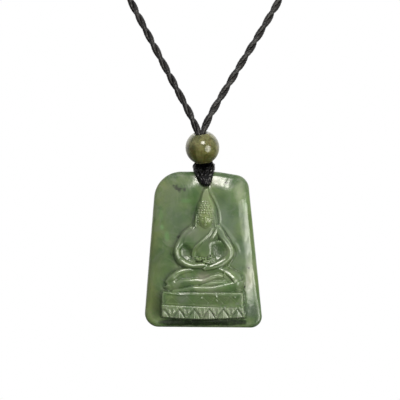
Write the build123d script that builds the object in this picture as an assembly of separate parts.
from build123d import *
from math import asin, cos, degrees, pi, radians, sin, sqrt, tan
import os

# A carved jade pendant with a drilled bead, hung on a twisted neck cord.
# Millimetres. +Z is up, the carved face looks along -Y, and the origin is
# the point at the nape where the closure of the cord rests on the neck.

# Bead
bead_diameter = 10.0
bead_bore = 2.7
bead_mouth = 4.7
bore_lean = 15.0
bore_roll = 7.0

# Cord
cord_diameter = 2.0
bore_clearance = 0.15
cord_root = 2.6
closure_length = 8.0
closure_diameter = 4.6

# Plaque
plaque_width = 35.4
plaque_height = 46.0
plaque_thickness = 5.2
front_round = 2.3
back_round = 1.7
side_bulge_depth = 0.35
plaque_shift = 0.3
hole_diameter = 2.6
hole_round = 0.3
hole_depth = 3.1
hole_shift = 1.0
bead_gap = 2.05

# Wrap of cord through the hole
wrap_clearance = 0.22
wrap_thickness = 1.5
wrap_width = 6.2
wrap_tip = 2.2

# Carved figure
figure_width = 24.9
figure_height = 38.4
figure_foot = 2.45
figure_shift = 0.5
relief_depth = 2.2
arm_radius = 1.65
arm_lift = 0.25
robe_edge = 0.45
petal_count = 6
petal_rise = 0.28
groove_width = 0.4
groove_depth = 0.25

# Where the neck cord runs, from the bead to the closure at the nape.
left_route = [
    (-1.77, -103.6, -123.0),
    (-21.9, -91.8, -83.8),
    (-41.7, -72.3, -45.3),
    (-58.2, -45.3, -18.8),
    (-54.7, -13.8, -4.8),
    (-29.7, 2.3, 0.0),
]
right_route = [
    (0.71, -103.6, -123.0),
    (23.9, -91.8, -83.8),
    (44.2, -72.3, -45.3),
    (59.5, -45.1, -18.8),
    (55.6, -13.6, -4.8),
    (30.0, 2.3, 0.0),
]

# Corners of the plaque, clockwise from the top left. The places are shares
# of its width from the middle and of its height from the top, and the
# rounding is a share of its width.
corner_columns = ("across", "down", "rounding")
corners = {
    "top_left": (-0.387, 0.0, 0.158),
    "top_break": (0.105, 0.0, 0.395),
    "top_right": (0.366, 0.032, 0.0735),
    "bottom_right": (0.5, 1.0, 0.0904),
    "bottom_left": (-0.5, 1.0, 0.113),
}

# Rounded masses of the figure. Across and half width are shares of the
# figure's width, up and half height of its height, rise of the relief.
mass_columns = ("across", "up", "half_width", "half_height", "rise", "lean")
masses = {
    "head": (0.012, 0.780, 0.098, 0.094, 1.0, 0),
    "left_ear": (-0.107, 0.764, 0.024, 0.062, 0.72, -5),
    "right_ear": (0.131, 0.764, 0.024, 0.062, 0.72, 5),
    "neck": (0.012, 0.686, 0.065, 0.042, 0.62, 0),
    "torso": (0.008, 0.561, 0.235, 0.17, 0.62, 0),
    "left_shoulder": (-0.15, 0.648, 0.072, 0.085, 0.88, -42),
    "right_shoulder": (0.18, 0.648, 0.072, 0.085, 0.88, 42),
    "hands": (0.016, 0.452, 0.112, 0.031, 1.0, 0),
    "lap": (-0.004, 0.311, 0.426, 0.0885, 0.78, 0),
    "left_knee": (-0.315, 0.298, 0.148, 0.083, 0.76, 12),
    "right_knee": (0.3, 0.303, 0.154, 0.0885, 0.82, -12),
    "upper_shin": (-0.045, 0.327, 0.365, 0.052, 1.05, 7),
    "lower_shin": (0.004, 0.2515, 0.395, 0.046, 1.08, 3),
}

# Line of the arms, from shoulder to hands to shoulder, in the same shares.
arm_line = [
    (-0.108, 0.694),
    (-0.327, 0.524),
    (-0.25, 0.44),
    (0.012, 0.402),
    (0.268, 0.44),
    (0.343, 0.52),
    (0.137, 0.691),
]

# The robe's two edges across the chest, in the same shares.
robe_lines = [
    ((0.085, 0.7), (-0.085, 0.6)),
    ((0.15, 0.68), (-0.07, 0.575)),
]

# Steps of the plinth from its foot, in the same shares.
step_columns = ("foot", "head", "foot_half", "head_half", "rise")
steps = {
    "petal_step": (0.0, 0.104, 0.5, 0.492, 1.0),
    "diamond_step": (0.108, 0.19, 0.486, 0.478, 0.93),
    "seat_step": (0.192, 0.222, 0.452, 0.444, 0.84),
}

# The crown, from behind the ears to its tip, in the same shares.
crown_foot = 0.735
crown_tip = 1.0
crown_foot_half = 0.142
crown_tip_half = 0.024
crown_rise = 0.68
crown_tip_rise = 0.25

bead_radius = bead_diameter / 2
cord_radius = cord_diameter / 2


def unit(vector):
    return vector.normalized()


# The bore leans forward and rolls a little, as the bead hangs on its cord.
bore_axis = unit(Vector(-tan(radians(bore_roll)), -tan(radians(bore_lean)), 1))
left_start = Vector(*left_route[0])
right_start = Vector(*right_route[0])
left_heading = unit(Vector(*left_route[1]) - left_start)
right_heading = unit(Vector(*right_route[1]) - right_start)
root = (left_start - left_heading * cord_root + right_start - right_heading * cord_root) * 0.5
bead_centre = root - bore_axis * bead_radius
plaque_top = bead_centre.Z - bead_radius - bead_gap
mid_y = bead_centre.Y
plaque_middle = bead_centre.X + plaque_shift
hole_x = bead_centre.X + hole_shift
hole_z = plaque_top - hole_depth
ground_y = mid_y - plaque_thickness / 2
back_y = mid_y + plaque_thickness / 2
figure_middle = bead_centre.X + figure_shift
foot_z = plaque_top - plaque_height + figure_foot


def front_plane(y):
    """A plane facing the viewer, with its origin on the plaque's middle."""
    return Plane(origin=(0, y, 0), x_dir=(1, 0, 0), z_dir=(0, -1, 0))


def figure_point(across, up):
    return (figure_middle + across * figure_width, foot_z + up * figure_height)


def outline():
    """The plaque's outline: five corners, slightly bulging sides."""
    spots = {}
    for name, row in corners.items():
        corner = dict(zip(corner_columns, row))
        spots[name] = (
            plaque_middle + corner["across"] * plaque_width,
            plaque_top - corner["down"] * plaque_height,
        )
    with BuildSketch(front_plane(back_y)) as sketch:
        with BuildLine():
            Line(spots["top_left"], spots["top_break"])
            Line(spots["top_break"], spots["top_right"])
            SagittaArc(spots["top_right"], spots["bottom_right"], -side_bulge_depth)
            Line(spots["bottom_right"], spots["bottom_left"])
            SagittaArc(spots["bottom_left"], spots["top_left"], -side_bulge_depth)
        make_face()
        for name, row in corners.items():
            x, z = spots[name]
            vertex = sketch.vertices().sort_by_distance((x, z, 0))[0]
            fillet(vertex, radius=dict(zip(corner_columns, row))["rounding"] * plaque_width)
    return sketch.sketch


def mass(row):
    """One rounded mass, half sunk in the ground of the plaque."""
    form = dict(zip(mass_columns, row))
    x, z = figure_point(form["across"], form["up"])
    size = (
        form["half_width"] * figure_width,
        form["rise"] * relief_depth,
        form["half_height"] * figure_height,
    )
    ball = scale(Sphere(1), by=size)
    return Pos(x, ground_y, z) * Rot(0, -form["lean"], 0) * ball


def crown():
    """The tall pointed crown, from the head to its tip."""
    foot_x, foot = figure_point(masses["head"][0], crown_foot)
    tip_x, tip = figure_point(masses["head"][0], crown_tip)
    sections = [
        Plane(origin=(foot_x, ground_y, foot))
        * Ellipse(crown_foot_half * figure_width, crown_rise * relief_depth),
        Plane(origin=(tip_x, ground_y, tip))
        * Ellipse(crown_tip_half * figure_width, crown_tip_rise * relief_depth),
    ]
    return loft(sections)


def tube(points, radius, radii):
    """A round bar along straight runs joined by tangent arcs."""
    path = FilletPolyline(*points, radius=radii) if len(points) > 2 else Line(*points)
    section = Plane(origin=path @ 0, z_dir=path % 0) * Circle(radius)
    return sweep(section, path=path)


def arms():
    """Both arms as one bar from shoulder to hands to shoulder."""
    depth = ground_y - arm_lift
    points = []
    for across, up in arm_line:
        x, z = figure_point(across, up)
        points.append(Vector(x, depth, z))
    return tube(points, arm_radius, arc_radii(points))


def robe(line):
    """One rolled edge of the robe, from a shoulder across the chest."""
    depth = ground_y - masses["torso"][4] * relief_depth
    points = []
    for across, up in line:
        x, z = figure_point(across, up)
        points.append(Vector(x, depth, z))
    return tube(points, robe_edge, [])


def step(row):
    """One step of the plinth."""
    form = dict(zip(step_columns, row))
    foot = form["foot"]
    head = form["head"]
    spots = [
        figure_point(-form["foot_half"], foot),
        figure_point(form["foot_half"], foot),
        figure_point(form["head_half"], head),
        figure_point(-form["head_half"], head),
    ]
    face = front_plane(mid_y) * make_face(Polyline(*spots, close=True))
    return extrude(face, form["rise"] * relief_depth + plaque_thickness / 2)


def petals():
    """Lotus petals that point down, along the lowest step."""
    form = dict(zip(step_columns, steps["petal_step"]))
    pitch = 2 * form["head_half"] / petal_count
    high = form["foot"] + 0.93 * (form["head"] - form["foot"])
    low = form["foot"] + 0.12 * (form["head"] - form["foot"])
    front = ground_y - form["rise"] * relief_depth
    result = []
    for index in range(petal_count):
        middle = -form["head_half"] + (index + 0.5) * pitch
        spots = [
            figure_point(middle - 0.42 * pitch, high),
            figure_point(middle, low),
            figure_point(middle + 0.42 * pitch, high),
        ]
        face = front_plane(mid_y) * make_face(Polyline(*spots, close=True))
        result.append(extrude(face, mid_y - front + petal_rise))
    return result


def grooves():
    """A zigzag cut in the upper step."""
    form = dict(zip(step_columns, steps["diamond_step"]))
    pitch = 2 * form["head_half"] / petal_count
    low = form["foot"] + 0.15 * (form["head"] - form["foot"])
    high = form["foot"] + 0.85 * (form["head"] - form["foot"])
    front = ground_y - form["rise"] * relief_depth
    result = []
    for index in range(petal_count):
        middle = -form["head_half"] + (index + 0.5) * pitch
        for side in (-1, 1):
            start = figure_point(middle + side * 0.46 * pitch, low)
            end = figure_point(middle + side * 0.06 * pitch, high)
            length = sqrt((end[0] - start[0]) ** 2 + (end[1] - start[1]) ** 2)
            angle = degrees(asin((end[1] - start[1]) / length))
            turn = angle if end[0] > start[0] else 180 - angle
            groove = Box(length, 2 * groove_depth, groove_width)
            middle_x = (start[0] + end[0]) / 2
            middle_z = (start[1] + end[1]) / 2
            result.append(Pos(middle_x, front, middle_z) * Rot(0, -turn, 0) * groove)
    return result


def plaque():
    """The jade plaque with its carved figure and drilled hole."""
    body = extrude(outline(), plaque_thickness)
    body = fillet(body.faces().sort_by(Axis.Y)[0].edges(), front_round)
    body = fillet(body.faces().sort_by(Axis.Y)[-1].edges(), back_round)
    for row in steps.values():
        body += step(row)
    for row in masses.values():
        body += mass(row)
    body += crown()
    body += arms()
    for line in robe_lines:
        body += robe(line)
    for petal in petals():
        body += petal
    for groove in grooves():
        body -= groove
    hole_frame = Plane(origin=(hole_x, mid_y, hole_z), z_dir=(0, -1, 0))
    body -= hole_frame * Cylinder(hole_diameter / 2, 4 * plaque_thickness)
    for side in (-1, 1):
        mouth = Pos(0, 0, side * (plaque_thickness / 2 - hole_round / 2))
        wide = hole_diameter / 2 + hole_round
        radii = (hole_diameter / 2, wide) if side > 0 else (wide, hole_diameter / 2)
        body -= hole_frame * mouth * Cone(*radii, hole_round)
    return body


def bead():
    """The round bead with a bore that opens into a mouth at each end."""
    frame = Plane(origin=bead_centre, z_dir=bore_axis)
    ball = Pos(*bead_centre) * Sphere(bead_radius)
    bore = frame * Cylinder(bead_bore / 2, 2 * bead_diameter)
    depth = (bead_mouth - bead_bore) / 2
    rim = sqrt(bead_radius**2 - (bead_mouth / 2) ** 2)
    result = ball - bore
    for side in (1, -1):
        mouth_plane = Plane(origin=bead_centre + bore_axis * (side * rim), z_dir=bore_axis * side)
        flare = mouth_plane * Pos(0, 0, depth / 2) * Cone(bead_mouth / 2, bead_mouth / 2 + depth, depth)
        mouth = mouth_plane * Pos(0, 0, -depth / 2) * Cone(bead_bore / 2, bead_mouth / 2, depth)
        result = result - flare - mouth
    return result


def arc_radii(points):
    """The largest arc that each corner's two runs allow."""
    radii = []
    for before, corner, after in zip(points, points[1:], points[2:]):
        first = corner - before
        second = after - corner
        half_turn = radians(first.get_angle(second)) / 2
        radii.append(0.45 * min(first.length, second.length) / tan(half_turn))
    return radii


def neck_cord(name, route, end_side):
    """One side of the neck cord, a plain tube from the bead to the closure."""
    points = [Vector(*spot) for spot in route]
    points.append(Vector(end_side * closure_length / 2, closure_diameter / 2, 0))
    radii = arc_radii(points)
    body = tube(points, cord_radius, radii)
    path = FilletPolyline(*points, radius=radii)
    expected = pi * cord_radius**2 * path.length
    print(name, "radii", [round(radius, 1) for radius in radii])
    print(name, "length", round(path.length, 1), "volume share", round(body.volume / expected, 4))
    return body


def closure():
    """The knot that closes the cord at the nape."""
    barrel = Pos(0, closure_diameter / 2, 0) * Rot(0, 90, 0) * Cylinder(closure_diameter / 2, closure_length)
    return fillet(barrel.edges(), closure_diameter / 5)


def wrap_leg(side):
    """One leg of the wrap, up one face of the plaque and over its top edge."""
    out = plaque_thickness / 2 + wrap_clearance + wrap_thickness / 2
    rise = bead_gap / 2
    low = -hole_depth
    rows = [
        (90.0, out, low - 0.45 * wrap_tip, hole_shift, 0.6 * wrap_tip, 0.5 * wrap_thickness),
        (90.0, out, low, hole_shift, wrap_tip, wrap_thickness),
        (92.0, out, 0.35 * low, 0.75 * hole_shift, 0.74 * wrap_width, wrap_thickness),
        (138.0, 0.7 * out, 0.7 * rise, 0.45 * hole_shift, wrap_width, wrap_thickness),
        (180.0, 0.0, rise, 0.35 * hole_shift, 0.92 * wrap_width, wrap_thickness),
    ]
    sections = []
    for turn, reach, height, shift, width, thick in rows:
        angle = radians(turn)
        heading = Vector(0, -side * cos(angle), sin(angle))
        centre = Vector(bead_centre.X + shift, mid_y - side * reach, plaque_top + height)
        frame = Plane(origin=centre, x_dir=(1, 0, 0), z_dir=heading)
        sections.append(frame * Ellipse(width / 2, thick / 2))
    return loft(sections)


def wrap():
    """The cord's wrap through the hole, with the strands in the bead's bore."""
    reach = plaque_thickness / 2 + wrap_clearance + wrap_thickness / 2
    through = [Vector(hole_x, mid_y + side * reach, hole_z) for side in (-1, 1)]
    core_end = bead_centre - bore_axis * (bead_radius + bead_gap / 4)
    body = wrap_leg(1) + wrap_leg(-1) + tube(through, wrap_tip / 2, [])
    body += tube([core_end, root], bead_bore / 2 - bore_clearance, [])
    for start, heading in ((left_start, left_heading), (right_start, right_heading)):
        body += tube([start - heading * cord_root, start], cord_radius, [])
    return body


parts = {
    "plaque": plaque(),
    "bead": bead(),
    "cord_wrap": wrap(),
    "neck_cord_left": neck_cord("neck_cord_left", left_route, -1),
    "neck_cord_right": neck_cord("neck_cord_right", right_route, 1),
    "closure": closure(),
}

os.makedirs("parts", exist_ok=True)
for name, shape in parts.items():
    print(name, len(shape.solids()), "solid(s)", round(shape.volume, 2), shape.is_valid)
    export_step(shape, f"parts/{name}.step")
